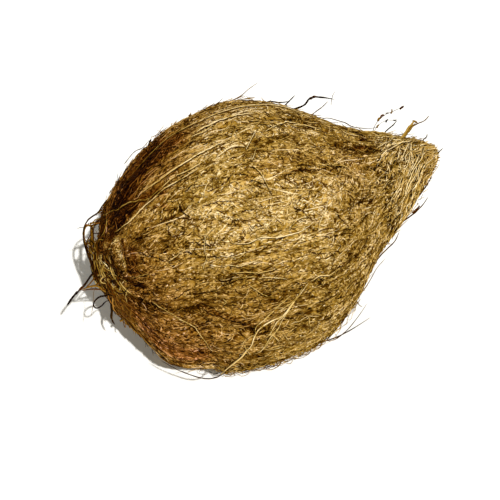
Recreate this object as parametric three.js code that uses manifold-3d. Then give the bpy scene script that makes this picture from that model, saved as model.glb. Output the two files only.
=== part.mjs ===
// A semi-husked coconut lying on its side. The body is one mass of matted husk fibre, combed into cords
// that run from a blunt end to a bent tuft. Loose fibres stand out of it: a tangle round the blunt end,
// a fringe on the tuft, strands lying over the belly and single hairs that lift off all round.
// Millimetres, +Z up, +X towards the tuft. The origin is the middle of the flat spot that it rests on.
import * as THREE from "three";
import { mergeVertices } from "three/addons/utils/BufferGeometryUtils.js";
import Module from "manifold-3d";

// Driving dimensions
const BELLY_RADIUS = 52.5;
const BLUNT_LENGTH = 63.5;
const TUFT_LENGTH = 86.5;
const FLAT_DEPTH = 1.6;
const FLAT_BEHIND_BELLY = 2.5;
const LEAN_DEG = 33.4;
const FIBRE_RADIUS = 0.6;
const ROOT_DEPTH = 3;

// The outline from the blunt end to the tip: along the axis, radius, and how far the section's centre
// stands off the straight axis. That rise lies in a plane that leans back from upright by 90 - LEAN_DEG.
const OUTLINE = [
  [-BLUNT_LENGTH, 0, 3],
  [-58.5, 15.5, 0.5],
  [-52, 29, -2.2],
  [-45, 37.4, -3.2],
  [-32, 44.6, -1.7],
  [-20, 50, -1.2],
  [0, BELLY_RADIUS, 0],
  [15, 50, 0.3],
  [31, 40.6, 0.8],
  [45, 29, 2],
  [58, 21.2, 3.1],
  [70, 15, 4.7],
  [80, 8.6, 6.4],
  [85, 4.4, 7],
  [TUFT_LENGTH, 0, 7.2],
];

// The husk's three blunt corners, which every coconut has
const LOBES = 3;
const LOBE_HEIGHT = 0.012;
const LOBE_TURN_DEG = 33.4;

// The combed cords: how many go round, the faces that draw them, and the heights across one cord
const CORDS = 23;
const COLUMNS_PER_CORD = 4;
const ROWS = 26;
const CORD_PROFILE = [-1, 0.2, 0.55, 0.25];
const CORD_HEIGHT = 1.15;

// How far a cord strays from an even spacing, as a share of it, and how it sways along the fruit
const CORD_JITTER = 0.5;
const SWAY = 0.07;
const SWAYS = 0.9;
const SWAY_SPREAD = 0.15;

// How a cord swells and thins along the fruit, from its mean height
const SWELL_MEAN = 0.65;
const SWELL_RANGE = 0.35;
const SWELLS = 1.6;

// Cords fade where the radius falls to the first value, and under the fruit within these distances
const CROWDED_RADIUS = [2, 26];
const PRESSED_WITHIN = [12, 26];

const radians = THREE.MathUtils.degToRad;
const { lerp, smoothstep, euclideanModulo } = THREE.MathUtils;
const TURN = 2 * Math.PI;
const FLOOR_ANGLE = Math.PI + radians(LEAN_DEG);

// A seeded source of draws: each call gives the next number between low and high, alike on every run
function seededDraws(seed) {
  let count = 0;
  return ([low, high]) => {
    count += 1;
    const wave = Math.sin(count * 127.1 + seed * 311.7) * 43758.5453;
    return lerp(low, high, wave - Math.floor(wave));
  };
}

const outline = new THREE.CatmullRomCurve3(
  OUTLINE.map((station) => new THREE.Vector3(...station)),
  false,
  "catmullrom",
  0.5,
);

// A point in the body's own axes: x along, y in the direction of the rise, z square to both.
// share runs from 0 at the blunt end to 1 at the tip, and angle turns from z towards y.
function onHusk(share, angle, lift = 0) {
  const [along, radius, rise] = outline.getPointAt(THREE.MathUtils.clamp(share, 0, 1)).toArray();
  const lobe = 1 + LOBE_HEIGHT * Math.cos(LOBES * (angle - radians(LOBE_TURN_DEG)));
  const reach = radius * lobe + lift;
  return new THREE.Vector3(along, rise + reach * Math.sin(angle), reach * Math.cos(angle));
}

const drawCord = seededDraws(1);
const cords = Array.from({ length: CORDS }, () => ({
  start: CORD_JITTER * drawCord([-0.5, 0.5]),
  sway: drawCord([0, SWAY_SPREAD]),
  swell: drawCord([0, 1]),
}));

// The angle of the valley that a cord starts from
function valleyAngle(cord, share) {
  const { start, sway } = cords[cord % CORDS];
  return (TURN * (cord + start)) / CORDS + SWAY * Math.sin(TURN * (SWAYS * share + sway));
}

function columnAngle(column, share) {
  const cord = Math.floor(column / COLUMNS_PER_CORD);
  const across = (column % COLUMNS_PER_CORD) / COLUMNS_PER_CORD;
  return lerp(valleyAngle(cord, share), valleyAngle(cord + 1, share), across);
}

// How far a column stands off the smooth outline: cords swell and thin along their length, fade where
// they crowd together at both ends, and are pressed flat under the fruit
function cordRelief(column, share, angle) {
  const station = outline.getPointAt(share);
  const cord = cords[Math.floor(column / COLUMNS_PER_CORD)];
  const swell = SWELL_MEAN + SWELL_RANGE * Math.sin(TURN * (SWELLS * share + cord.swell));
  const fromFloor = Math.abs(euclideanModulo(angle - FLOOR_ANGLE + Math.PI, TURN) - Math.PI);
  const fromFlat = Math.hypot(station.x, fromFloor * station.y);
  const faded = smoothstep(station.y, ...CROWDED_RADIUS) * smoothstep(fromFlat, ...PRESSED_WITHIN);
  return CORD_HEIGHT * CORD_PROFILE[column % COLUMNS_PER_CORD] * swell * faded;
}

function huskSkin() {
  const columns = CORDS * COLUMNS_PER_CORD;
  const points = [onHusk(0, 0)];
  for (let row = 1; row < ROWS; row++) {
    const share = row / ROWS;
    for (let column = 0; column < columns; column++) {
      const angle = columnAngle(column, share);
      points.push(onHusk(share, angle, cordRelief(column, share, angle)));
    }
  }
  points.push(onHusk(1, 0));

  const at = (row, column) => 1 + (row - 1) * columns + (column % columns);
  const faces = [];
  for (let column = 0; column < columns; column++) {
    faces.push(0, at(1, column), at(1, column + 1));
    faces.push(points.length - 1, at(ROWS - 1, column + 1), at(ROWS - 1, column));
    for (let row = 1; row < ROWS - 1; row++) {
      faces.push(at(row, column), at(row + 1, column), at(row + 1, column + 1));
      faces.push(at(row, column), at(row + 1, column + 1), at(row, column + 1));
    }
  }
  return new THREE.BufferGeometry().setFromPoints(points).setIndex(faces);
}

// One fibre: a three-sided tube along a smooth path, in so many straight steps
function fibre(path, steps) {
  const section = new THREE.Shape();
  section.moveTo(FIBRE_RADIUS, 0);
  for (const turn of [TURN / 3, (2 * TURN) / 3]) {
    section.lineTo(FIBRE_RADIUS * Math.cos(turn), FIBRE_RADIUS * Math.sin(turn));
  }
  const extrudePath = new THREE.CatmullRomCurve3(path);
  return new THREE.ExtrudeGeometry(section, { steps, extrudePath, bevelEnabled: false });
}

// Single hairs that lift off the husk all round, combed to and fro, none under the fruit.
// turn is the share of a circle from the floor, length a share of the fruit, side an angle.
const HAIRS = {
  count: 30,
  share: [0.12, 0.9],
  turn: [0.17, 0.83],
  length: [0.07, 0.13],
  backward: 0.25,
  side: [-0.16, 0.16],
  lift: [2.5, 6.5],
};
function liftingHairs() {
  const draw = seededDraws(2);
  return Array.from({ length: HAIRS.count }, () => {
    const share = draw(HAIRS.share);
    const angle = FLOOR_ANGLE + TURN * draw(HAIRS.turn);
    const way = draw([0, 1]) < HAIRS.backward ? -1 : 1;
    const length = way * draw(HAIRS.length);
    const side = draw(HAIRS.side);
    const lift = draw(HAIRS.lift);
    const path = [
      onHusk(share, angle, -ROOT_DEPTH),
      onHusk(share + 0.3 * length, angle + 0.3 * side, FIBRE_RADIUS),
      onHusk(share + 0.7 * length, angle + 0.8 * side, 0.45 * lift),
      onHusk(share + length, angle + side, lift),
    ];
    return fibre(path, 4);
  });
}

// The frayed end of the tuft: short stiff ends that run on past the tip and spread a little
const FRINGE = { count: 15, share: [0.84, 0.95], sunk: 1.6, reach: [2, 4.5], spread: [0.3, 1.8] };
function tuftFringe() {
  const draw = seededDraws(3);
  return Array.from({ length: FRINGE.count }, (_, end) => {
    const share = draw(FRINGE.share);
    const angle = (TURN * (end + draw([0, 1]))) / FRINGE.count;
    const root = onHusk(share, angle, -FRINGE.sunk);
    const skin = onHusk(share + 0.03, angle, FIBRE_RADIUS);
    const spread = draw(FRINGE.spread);
    const onward = new THREE.Vector3(draw(FRINGE.reach), spread * Math.sin(angle), spread * Math.cos(angle));
    return fibre([root, skin, skin.clone().add(onward)], 3);
  });
}

// The tangle round the blunt end: loops that leave the husk and come back into it further round.
// sweep is the angle between a loop's feet, and stand how far it stands out past the end.
const TANGLE = { count: 13, share: [0.02, 0.1], sweep: [0.7, 1.6], stand: [1.5, 4.5] };
function bluntTangle() {
  const draw = seededDraws(4);
  return Array.from({ length: TANGLE.count }, (_, loop) => {
    const share = draw(TANGLE.share);
    const angle = (TURN * (loop + draw([0, 0.6]))) / TANGLE.count;
    const sweep = draw(TANGLE.sweep);
    const stand = draw(TANGLE.stand);
    const away = (swept, lift, out) => {
      const point = onHusk(share, angle + swept * sweep, lift);
      point.x -= out;
      return point;
    };
    const path = [
      away(0, -2, -ROOT_DEPTH),
      away(0.2, 0.5, 0.7 * stand),
      away(0.55, 1.5, stand),
      away(0.85, 0, 0.4 * stand),
      away(1, -2.5, -ROOT_DEPTH),
    ];
    return fibre(path, 6);
  });
}

// Long strands that lie on the husk, half sunk in it: share and angle in degrees of each point
const LYING_LIFT = 0.5;
const LYING_STRANDS = [
  [[0.09, 60], [0.18, 49], [0.27, 42], [0.36, 39], [0.44, 40]],
  [[0.14, 47], [0.22, 35], [0.3, 37], [0.41, 37]],
  [[0.4, 54], [0.49, 50], [0.59, 54], [0.68, 48]],
  [[0.22, 68], [0.36, 65], [0.48, 61], [0.62, 61], [0.74, 66]],
  [[0.36, -1], [0.46, -7], [0.53, -6], [0.59, 3]],
  [[0.34, -14], [0.42, -20], [0.5, -30]],
  [[0.54, -26], [0.46, -36], [0.4, -45], [0.35, -62]],
  [[0.18, -20], [0.23, -30], [0.28, -41], [0.3, -55]],
  [[0.92, 46], [0.87, 14], [0.8, -15], [0.76, -26]],
  [[0.2, 150], [0.35, 141], [0.5, 138], [0.66, 143], [0.8, 150]],
  [[0.16, 176], [0.3, 184], [0.45, 180], [0.6, 172]],
  [[0.18, 258], [0.32, 250], [0.48, 248], [0.62, 256]],
];
function lyingStrands() {
  return LYING_STRANDS.map((places) => {
    const path = places.map(([share, degrees]) => onHusk(share, radians(degrees), LYING_LIFT));
    const [first, firstDegrees] = places[0];
    const [last, lastDegrees] = places[places.length - 1];
    path.unshift(onHusk(first - 0.02, radians(firstDegrees), -ROOT_DEPTH));
    path.push(onHusk(last + 0.02, radians(lastDegrees), -ROOT_DEPTH));
    return fibre(path, 2 * places.length - 1);
  });
}

// Strays with a shape of their own, in the body's axes: along, rise, and square to both
const STRAYS = {
  spike: [[-56, 8, 0], [-63, 4.5, 2], [-67, 1.8, 3], [-72.5, -1.6, 4], [-78.6, -4.8, 4]],
  fan: [[-57, -8, 3], [-64, -5, 4], [-68, -2.6, 4], [-72, -2.2, 4]],
  curl: [
    [-56, -8, 0], [-64, -6.4, 2], [-68, -7, 3], [-69.6, -9.2, 4], [-67.5, -10.6, 4], [-64.6, -8.4, 3],
  ],
  drop: [[-54, -9, -3], [-61, -8.5, -5], [-63, -11.5, -7], [-64.2, -16, -9], [-64, -19.5, -10]],
  outer_loop: [[-45, 27, 0], [-55, 26.6, 0], [-61, 23.4, 1], [-63.4, 17, 2], [-63.8, 10, 2], [-57, 2, 1]],
  inner_loop: [[-46, 24, 8], [-55.4, 23.6, 8], [-59.8, 18, 8], [-61.2, 12, 8], [-61, 6, 7], [-54, 3, 6]],
  bent_twig: [[28, 41, 0], [35, 41.5, 1], [39.8, 43.6, 1], [43.5, 42.4, 1], [48.4, 40.2, 1]],
  short_twig: [[24, 42, 2], [29, 44.5, 3], [33.5, 47, 4]],
  top_hair: [[2, 49, -3], [9, 52.6, -4], [15, 53.2, -4], [21.6, 55.5, -4]],
  shoulder_hair: [[-42, 38, 0], [-35, 43, 1], [-31, 45, 1], [-26.5, 48, 1]],
  crusty_twig: [[56, 19, 2], [61.5, 25, 2], [65.5, 28, 2], [72.5, 29.4, 2]],
  tuft_twig: [[63, 14, 4], [69, 19, 5], [74, 21.4, 5], [79, 21.6, 5], [82, 23.4, 5]],
  edge_strip: [[52, -16, 3], [60, -13.6, 4], [66.5, -10.4, 4], [70.5, -5.4, 4]],
  tip_hair: [[64, -5, 2], [70.5, -3.2, 3], [75.4, 0.6, 3]],
  low_hair: [[36, -31, 2], [42.5, -31, 3], [48.4, -27.5, 3]],
  belly_hair: [[10, -46.5, 3], [19, -49.6, 4], [27, -47.8, 4], [35.3, -42.4, 4]],
  sweep_hair: [[0, -48, 0], [9, -51.6, 0], [21, -51, 0], [32, -48, 0]],
  long_arc: [
    [-16, -38, 27], [-20.5, -44, 22], [-25.5, -49.4, 16], [-31, -51, 11], [-36, -49.6, 9],
    [-41, -46, 7], [-45, -38, 4],
  ],
};
function strayFibres() {
  return Object.values(STRAYS).map((places) => {
    const path = places.map((place) => new THREE.Vector3(...place));
    return fibre(path, 2 * (places.length - 1));
  });
}

const wasm = await Module();
wasm.setup();

// Turns a geometry from the body's axes to the part's frame and makes it a solid
function asSolid(geometry) {
  const placed = geometry.clone();
  placed.deleteAttribute("normal");
  placed.deleteAttribute("uv");
  placed.rotateX(radians(LEAN_DEG)).translate(FLAT_BEHIND_BELLY, 0, BELLY_RADIUS - FLAT_DEPTH);
  const merged = mergeVertices(placed, 1e-4);
  return new wasm.Manifold(
    new wasm.Mesh({
      numProp: 3,
      vertProperties: merged.attributes.position.array,
      triVerts: new Uint32Array(merged.index.array),
    }),
  );
}

// Leaves out scraps, and fills the small hollows that crossing fibres seal
const largestBody = (solid) => solid.decompose().reduce((a, b) => (b.volume() > a.volume() ? b : a));

function asGeometry(solid) {
  const { vertProperties, triVerts } = solid.getMesh();
  const geometry = new THREE.BufferGeometry()
    .setAttribute("position", new THREE.BufferAttribute(vertProperties, 3))
    .setIndex(new THREE.BufferAttribute(triVerts, 1));
  geometry.computeVertexNormals();
  return geometry;
}

function coconut() {
  const fibres = [liftingHairs(), tuftFringe(), bluntTangle(), lyingStrands(), strayFibres()].flat();
  const joined = fibres.map(asSolid).reduce((whole, piece) => whole.add(piece), asSolid(huskSkin()));
  const rested = largestBody(joined.trimByPlane([0, 0, 1], 0));
  const husk = new THREE.MeshStandardMaterial({ color: 0x8d6a36, roughness: 0.9, metalness: 0 });
  const mesh = new THREE.Mesh(asGeometry(rested), husk);
  mesh.name = "coconut";
  return mesh;
}

const part = new THREE.Group();
part.add(coconut());
export default part;
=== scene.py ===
# A semi-husked coconut in its matted coir, lying on its side on a white floor.
# The husk and every fibre are worked out in millimetres in the body's own axes: along the fruit, in the
# direction of its rise, and square to both. A mesh is turned to the frame and to metres when it is made.
import math
from types import SimpleNamespace

import bpy
import numpy as np
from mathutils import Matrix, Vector


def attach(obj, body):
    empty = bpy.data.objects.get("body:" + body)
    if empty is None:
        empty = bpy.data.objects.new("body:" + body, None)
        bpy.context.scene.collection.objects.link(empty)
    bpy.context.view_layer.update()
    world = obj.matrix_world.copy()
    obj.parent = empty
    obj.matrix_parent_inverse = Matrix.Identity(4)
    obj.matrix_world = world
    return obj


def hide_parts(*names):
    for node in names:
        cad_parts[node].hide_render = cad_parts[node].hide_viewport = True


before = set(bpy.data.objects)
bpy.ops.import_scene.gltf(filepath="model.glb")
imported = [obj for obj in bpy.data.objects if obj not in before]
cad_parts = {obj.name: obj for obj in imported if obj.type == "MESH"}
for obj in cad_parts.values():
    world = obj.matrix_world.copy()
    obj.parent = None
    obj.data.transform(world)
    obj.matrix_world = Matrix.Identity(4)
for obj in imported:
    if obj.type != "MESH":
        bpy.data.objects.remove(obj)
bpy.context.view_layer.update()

# Driving dimensions, the same as the solid's
BELLY_RADIUS = 52.5
BLUNT_LENGTH = 63.5
TUFT_LENGTH = 86.5
FLAT_DEPTH = 1.6
FLAT_BEHIND_BELLY = 2.5
LEAN = math.radians(33.4)
MM = 0.001
TURN = 2 * math.pi

# The outline from the blunt end to the tip: along the axis, radius, rise of the section's centre
OUTLINE = [
    (-BLUNT_LENGTH, 0, 3),
    (-58.5, 15.5, 0.5),
    (-52, 29, -2.2),
    (-45, 37.4, -3.2),
    (-32, 44.6, -1.7),
    (-20, 50, -1.2),
    (0, BELLY_RADIUS, 0),
    (15, 50, 0.3),
    (31, 40.6, 0.8),
    (45, 29, 2),
    (58, 21.2, 3.1),
    (70, 15, 4.7),
    (80, 8.6, 6.4),
    (85, 4.4, 7),
    (TUFT_LENGTH, 0, 7.2),
]
LOBES = 3
LOBE_HEIGHT = 0.012
LOBE_TURN = LEAN

# The combed cords, the same as the solid's
CORDS = 23
CORD_PROFILE = np.array([-1, 0.2, 0.55, 0.25])
CORD_STEPS = len(CORD_PROFILE)
CORD_HEIGHT = 1.15
CORD_JITTER = 0.5
SWAY = 0.07
SWAYS = 0.9
SWAY_SPREAD = 0.15
SWELL_MEAN = 0.65
SWELL_RANGE = 0.35
SWELLS = 1.6
CROWDED_RADIUS = (2, 26)
PRESSED_WITHIN = (12, 26)
FLOOR_ANGLE = math.pi + LEAN

# Faces of the husk's own mesh
HUSK_ROWS = 250
HUSK_COLUMNS = 16 * CORDS


def lerp(low, high, share):
    return low + (high - low) * share


def smoothstep(value, low, high):
    share = np.clip((value - low) / (high - low), 0, 1)
    return share * share * (3 - 2 * share)


def unit(vectors):
    return vectors / np.maximum(np.linalg.norm(vectors, axis=-1, keepdims=True), 1e-9)


# Draws that follow the solid's seeded rule, so that the cords lie where its cords lie
def seeded_draws(seed):
    count = 0

    def draw(low, high):
        nonlocal count
        count += 1
        wave = math.sin(count * 127.1 + seed * 311.7) * 43758.5453
        return lerp(low, high, wave - math.floor(wave))

    return draw


draw_cord = seeded_draws(1)
cord_draws = [
    (CORD_JITTER * draw_cord(-0.5, 0.5), draw_cord(0, SWAY_SPREAD), draw_cord(0, 1)) for _ in range(CORDS)
]
CORD_START, CORD_SWAY, CORD_SWELL = np.array(cord_draws).T


def smooth_curve(stations, steps):
    """A smooth curve through stations, as so many points even by station."""
    known = np.array(stations, float)
    ends = np.vstack([2 * known[0] - known[1], known, 2 * known[-1] - known[-2]])
    place = np.linspace(0, len(known) - 1, steps)
    span = np.minimum(place.astype(int), len(known) - 2)
    t = (place - span)[:, None]
    a, b, c, d = (ends[span + k] for k in range(4))
    return 0.5 * (2 * b + (c - a) * t + (2 * a - 5 * b + 4 * c - d) * t**2 + (3 * b - a - 3 * c + d) * t**3)


# The outline as a table by share of its length
STATIONS = smooth_curve(OUTLINE, 2401)
STATION_LENGTHS = np.concatenate([[0], np.cumsum(np.linalg.norm(np.diff(STATIONS, axis=0), axis=1))])
HUSK_LENGTH = STATION_LENGTHS[-1]
STATION_SHARES = STATION_LENGTHS / HUSK_LENGTH
STATION_SLOPES = unit(np.gradient(STATIONS[:, :2], axis=0))


def station(share):
    return [np.interp(share, STATION_SHARES, STATIONS[:, k]) for k in range(3)]


# A place on the husk is a share of its length and a count of cords round it
def valley_angle(cord, share):
    start, sway = CORD_START[cord % CORDS], CORD_SWAY[cord % CORDS]
    return TURN * (cord + start) / CORDS + SWAY * np.sin(TURN * (SWAYS * share + sway))


def angle_of(share, cord):
    whole = np.floor(cord).astype(int)
    return lerp(valley_angle(whole, share), valley_angle(whole + 1, share), cord - whole)


# How cord_of closes in on an angle: its rounds, and the share of the rest that each one takes
ANGLE_ROUNDS = 12
ANGLE_STEP = 0.7

# The least radius that distances round the husk are taken at
SLIM_RADIUS = 5


def cord_of(share, angle):
    """The count of cords at an angle, which undoes angle_of."""
    cord = angle * CORDS / TURN
    for _ in range(ANGLE_ROUNDS):
        cord = cord + ANGLE_STEP * (angle - angle_of(share, cord)) * CORDS / TURN
    return cord


def cords_across(share, sideways):
    """The count of cords that a distance round the husk in millimetres spans."""
    return sideways / np.maximum(station(share)[1], SLIM_RADIUS) * CORDS / TURN


def cord_height(column, share):
    start = CORD_SWELL[(column // CORD_STEPS) % CORDS]
    swell = SWELL_MEAN + SWELL_RANGE * np.sin(TURN * (SWELLS * share + start))
    return CORD_PROFILE[column % CORD_STEPS] * swell


def cord_relief(share, cord):
    column = np.floor(cord * CORD_STEPS).astype(int)
    across = smoothstep(cord * CORD_STEPS - column, 0, 1)
    height = lerp(cord_height(column, share), cord_height(column + 1, share), across)
    along, radius, _ = station(share)
    from_floor = np.abs((angle_of(share, cord) - FLOOR_ANGLE + math.pi) % TURN - math.pi)
    pressed = smoothstep(np.hypot(along, from_floor * radius), *PRESSED_WITHIN)
    return CORD_HEIGHT * height * smoothstep(radius, *CROWDED_RADIUS) * pressed


def grain(share, cord, seed, cells_along, cells_round):
    """Smooth seeded noise from -1 to 1 in cells on the husk, which meets itself round it."""
    lattice = np.random.default_rng(seed).uniform(-1, 1, (cells_along + 2, cells_round))
    x = np.clip(share, 0, 1) * cells_along
    y = cord / CORDS * cells_round
    row, column = np.floor(x).astype(int), np.floor(y).astype(int)
    down, right = smoothstep(x - row, 0, 1), smoothstep(y - column, 0, 1)
    here, there = column % cells_round, (column + 1) % cells_round
    near = lerp(lattice[row, here], lattice[row, there], right)
    far = lerp(lattice[row + 1, here], lattice[row + 1, there], right)
    return lerp(near, far, down)


# A grain is a seed, the cells along the husk and the cells round it
CREASE_WANDER = (21, 11, 72)
CREASE_PRESENCE = (22, 14, 34)
CREASE_PRESENT = (-0.2, 0.4)
CREASE_WIDTH = 0.08


def crease(share, cord):
    """How far a place lies in one of the thin creases that wander lengthwise, from 0 to 1."""
    present = smoothstep(grain(share, cord, *CREASE_PRESENCE), *CREASE_PRESENT)
    return np.exp(-((grain(share, cord, *CREASE_WANDER) / CREASE_WIDTH) ** 2)) * present


# How far the felt lies under the outline on average, so that its loose fibres come up to the outline, and
# how much further near the tip, where they are stiffer and stand higher
FELT_SUNK = 0.7
TIP_SUNK = 1.0
TIP_WITHIN = (0.82, 0.92)

# The fine relief: heights in millimetres with their grains, and the radii over which it sets in
RELIEF = {
    "ridges": (0.4, 11, 14, 150),
    "fine_ridges": (0.25, 12, 50, 260),
    "crumbs": (0.32, 13, 120, 170),
}
CREASE_DEPTH = 0.6
RELIEF_FROM = (1, 22)
TIP_SUNK_FROM = (1, 6)


def matting(share, cord):
    """The husk's fine relief: lengthwise ridges, crumbs of felted fibre, and the creases between them."""
    radius = station(share)[1]
    relief = sum(height * grain(share, cord, *cells) for height, *cells in RELIEF.values())
    relief = (relief - CREASE_DEPTH * crease(share, cord)) * smoothstep(radius, *RELIEF_FROM)
    at_tip = smoothstep(share, *TIP_WITHIN) * smoothstep(radius, *TIP_SUNK_FROM)
    return relief - FELT_SUNK - TIP_SUNK * at_tip


def on_husk(share, cord, lift):
    """Points above the husk, and the husk's outward normals there."""
    along, radius, rise = station(share)
    forward = np.interp(share, STATION_SHARES, STATION_SLOPES[:, 0])
    outward = np.interp(share, STATION_SHARES, STATION_SLOPES[:, 1])
    angle = angle_of(share, cord)
    reach = radius * (1 + LOBE_HEIGHT * np.cos(LOBES * (angle - LOBE_TURN))) + cord_relief(share, cord)
    reach = np.maximum(reach, 0)
    sine, cosine = np.sin(angle), np.cos(angle)
    normals = unit(np.stack([-outward, forward * sine, forward * cosine], -1))
    skin = np.stack([along + 0 * angle, rise + reach * sine, reach * cosine], -1)
    return skin + normals * np.asarray(lift)[..., None], normals


def to_frame(points):
    """From the body's axes in millimetres to the part's frame in metres."""
    along, rise, out = np.moveaxis(points, -1, 0)
    across = rise * math.cos(LEAN) - out * math.sin(LEAN)
    up = rise * math.sin(LEAN) + out * math.cos(LEAN) + BELLY_RADIUS - FLAT_DEPTH
    return MM * np.stack([along + FLAT_BEHIND_BELLY, across, up], -1)


# Broad patches where the husk is lighter or darker than its mean, and redder: share, degrees, how far
# each reaches in both, change of tone, redness
PATCHES = {
    "blunt_end": (0.0, 0, 0.07, 400, 0.02, 0.5),
    "left_side": (0.14, -8, 0.12, 60, -0.1, 0.6),
    "lower_left_edge": (0.2, -62, 0.12, 28, 0.07, 0.5),
    "upper_left_edge": (0.24, 76, 0.16, 22, -0.2, 0.7),
    "upper_edge": (0.5, 66, 0.16, 24, 0.16, 0.1),
    "middle": (0.47, 4, 0.2, 40, 0.21, 0),
    "right_of_middle": (0.66, 0, 0.1, 50, 0.05, 0.1),
    "lower_belly": (0.34, -45, 0.14, 26, -0.06, 0.2),
    "tuft_edge": (0.84, -50, 0.12, 34, 0.08, 0),
    "tuft_tip": (1.0, 0, 0.1, 400, 0.06, 0),
    "shoulder_shade": (0.72, 24, 0.07, 18, -0.08, 0.2),
    "upper_middle": (0.5, 24, 0.09, 14, -0.09, 0.1),
    "low_centre": (0.39, -26, 0.1, 16, -0.08, 0.1),
    "upper_left_shade": (0.31, 43, 0.05, 10, -0.06, 0.4),
    "tuft": (0.86, 25, 0.08, 40, 0.14, 0),
    "far_stain": (0.34, 190, 0.12, 24, -0.22, 0.6),
    # Darker and redder under the belly, where it rests on the floor
    "darker_underside": (0.55, 235, 0.14, 26, -0.14, 0.3),
    "far_tuft_edge": (0.8, 160, 0.13, 30, 0.1, 0),
}

# Stains, and painted shade in open creases and valleys and by the blunt end, along routes on the husk: how
# far to both sides in millimetres, change of tone, redness. A route's places are in thousandths of the husk's
# length and degrees.
TRACES = {
    "maroon_patch": ([(180, 53), (240, 56), (300, 59), (350, 59)], 5, -0.27, 1),
    "maroon_edge": ([(200, 62), (260, 66), (310, 68)], 5, -0.24, 1),
    "maroon_head": ([(100, 62), (170, 62), (220, 64)], 5, -0.2, 0.8),
    "purple_stain": ([(100, 38), (150, 42), (190, 44), (250, 40), (280, 36)], 2.2, -0.32, 0.9),
    "pole_shadow": ([(50, 30), (70, 60), (90, 75)], 4, -0.25, 0.9),
    "pole_patch": ([(80, 50), (100, 40), (130, 34)], 1.5, 0.3, -0.8),
    "pole_strip": ([(126, 23), (129, 15), (128, 8)], 1.2, 0.3, -0.6),
    # Painted shade in creases near the blunt end
    "pole_crease_shade": ([(150, 28), (146, 15), (140, 0)], 0.9, -0.35, 0.6),
    "pole_low_crease_shade": ([(120, -5), (135, -7), (154, -10), (175, -10)], 0.9, -0.35, 0.6),
    "red_edge": ([(100, -40), (150, -58), (200, -62), (260, -63)], 4, -0.03, 0.8),
    "red_stripe": ([(155, -2), (160, 6), (168, 18)], 1.6, -0.2, 0.7),
    "red_line": ([(256, 30), (267, 29), (279, 25)], 0.5, -0.25, 1),
    # Painted shade along valleys between cords and along a crease
    "upper_valley_shade": ([(432, 20), (466, 22), (505, 22), (538, 23), (606, 22)], 1.2, -0.14, 0.2),
    "right_valley_shade": ([(494, 16), (535, 17), (572, 16), (624, 16)], 0.9, -0.16, 0.2),
    "long_valley_shade": ([(283, 20), (301, 16), (331, 12), (374, 6), (412, 4)], 0.8, -0.14, 0.2),
    "low_valley_shade": ([(280, -26), (312, -33), (354, -38), (377, -42)], 0.9, -0.16, 0.4),
    "shoulder_crease_shade": ([(723, 32), (744, 34), (775, 33), (804, 30)], 0.6, -0.4, 0.9),
    "shoulder_stain": ([(761, 46), (780, 48), (799, 49)], 0.6, -0.3, 0.9),
}
TRACE_STEPS = 20
ROUTE_UNITS = (1000, 1)


def husk_curve(route, steps):
    """A smooth curve through a route's places, in shares of the husk's length and degrees."""
    return smooth_curve(np.array(route) / ROUTE_UNITS, steps)


def degrees_off(degrees, turned):
    return (degrees - turned + 180) % 360 - 180


def near_route(share, cord, route, reach):
    """How near places lie to a route on the husk, from 1 on it to 0 well past its reach."""
    radius = station(share)[1]
    degrees = np.degrees(angle_of(share, cord))
    nearest = np.full(np.shape(degrees), np.inf)
    for place, turned in husk_curve(route, TRACE_STEPS):
        off = np.radians(degrees_off(degrees, turned))
        nearest = np.minimum(nearest, ((share - place) * HUSK_LENGTH) ** 2 + (off * radius) ** 2)
    return np.exp(-nearest / reach**2)


# Light and dark streaks that run lengthwise: change of tone, grain
STREAKS = [(0.1, 25, 16, 90), (0.08, 26, 36, 170)]


def shade_at(share, cord):
    """The change of tone and the redness that streaks, patches and traces give to places on the husk."""
    share, cord = np.broadcast_arrays(share, cord)
    degrees = np.degrees(angle_of(share, cord))
    tone, redness = 0 * degrees, 0 * degrees
    for change, *cells in STREAKS:
        tone = tone + change * grain(share, cord, *cells)
    for middle, turned, reach, spread, change, red in PATCHES.values():
        off = degrees_off(degrees, turned)
        weight = np.exp(-(((share - middle) / reach) ** 2) - (off / spread) ** 2)
        tone, redness = tone + change * weight, redness + red * weight
    for route, reach, change, red in TRACES.values():
        weight = near_route(share, cord, route, reach)
        tone, redness = tone + change * weight, redness + red * weight
    return tone, np.clip(redness, 0, 1)


# The painted shade in the valleys between cords: grains of its width and depth, mean and range of the width,
# where it sets in
VALLEY_WIDTHS = (23, 30, CORDS)
VALLEY_DEPTHS = (24, 9, CORDS)
VALLEY_WIDTH = 0.08
VALLEY_WIDTH_RANGE = 0.04
VALLEY_PRESENT = (-0.3, 0.5)


def valley_shade(share, cord):
    """How much painted shade a place gets down in a valley between cords, from 0 to 1."""
    across = cord - np.floor(cord)
    width = VALLEY_WIDTH + VALLEY_WIDTH_RANGE * grain(share, cord, *VALLEY_WIDTHS)
    depth = smoothstep(grain(share, cord, *VALLEY_DEPTHS), *VALLEY_PRESENT)
    return depth * np.exp(-((np.minimum(across, 1 - across) / width) ** 2))


# Meshes
def in_scene(name, data):
    """A new object of that data, in the scene."""
    thing = bpy.data.objects.new(name, data)
    bpy.context.scene.collection.objects.link(thing)
    return thing


def make_piece(name, points, triangles, tone, redness, material):
    """A mesh in the frame that rides on the fruit and carries the tone and redness of each vertex."""
    placed = to_frame(points)
    placed[:, 2] = np.maximum(placed[:, 2], 0)
    mesh = bpy.data.meshes.new(name)
    mesh.vertices.add(len(placed))
    mesh.vertices.foreach_set("co", placed.ravel())
    mesh.loops.add(triangles.size)
    mesh.loops.foreach_set("vertex_index", triangles.ravel())
    mesh.polygons.add(len(triangles))
    mesh.polygons.foreach_set("loop_start", np.arange(0, triangles.size, 3))
    mesh.update(calc_edges=True)
    mesh.shade_smooth()
    for label, values in (("tone", tone), ("redness", redness)):
        attribute = mesh.attributes.new(label, "FLOAT", "POINT")
        attribute.data.foreach_set("value", np.asarray(values, np.float32).ravel())
    mesh.materials.append(material)
    piece = in_scene(name, mesh)
    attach(piece, "root")
    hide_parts("coconut")


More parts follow.
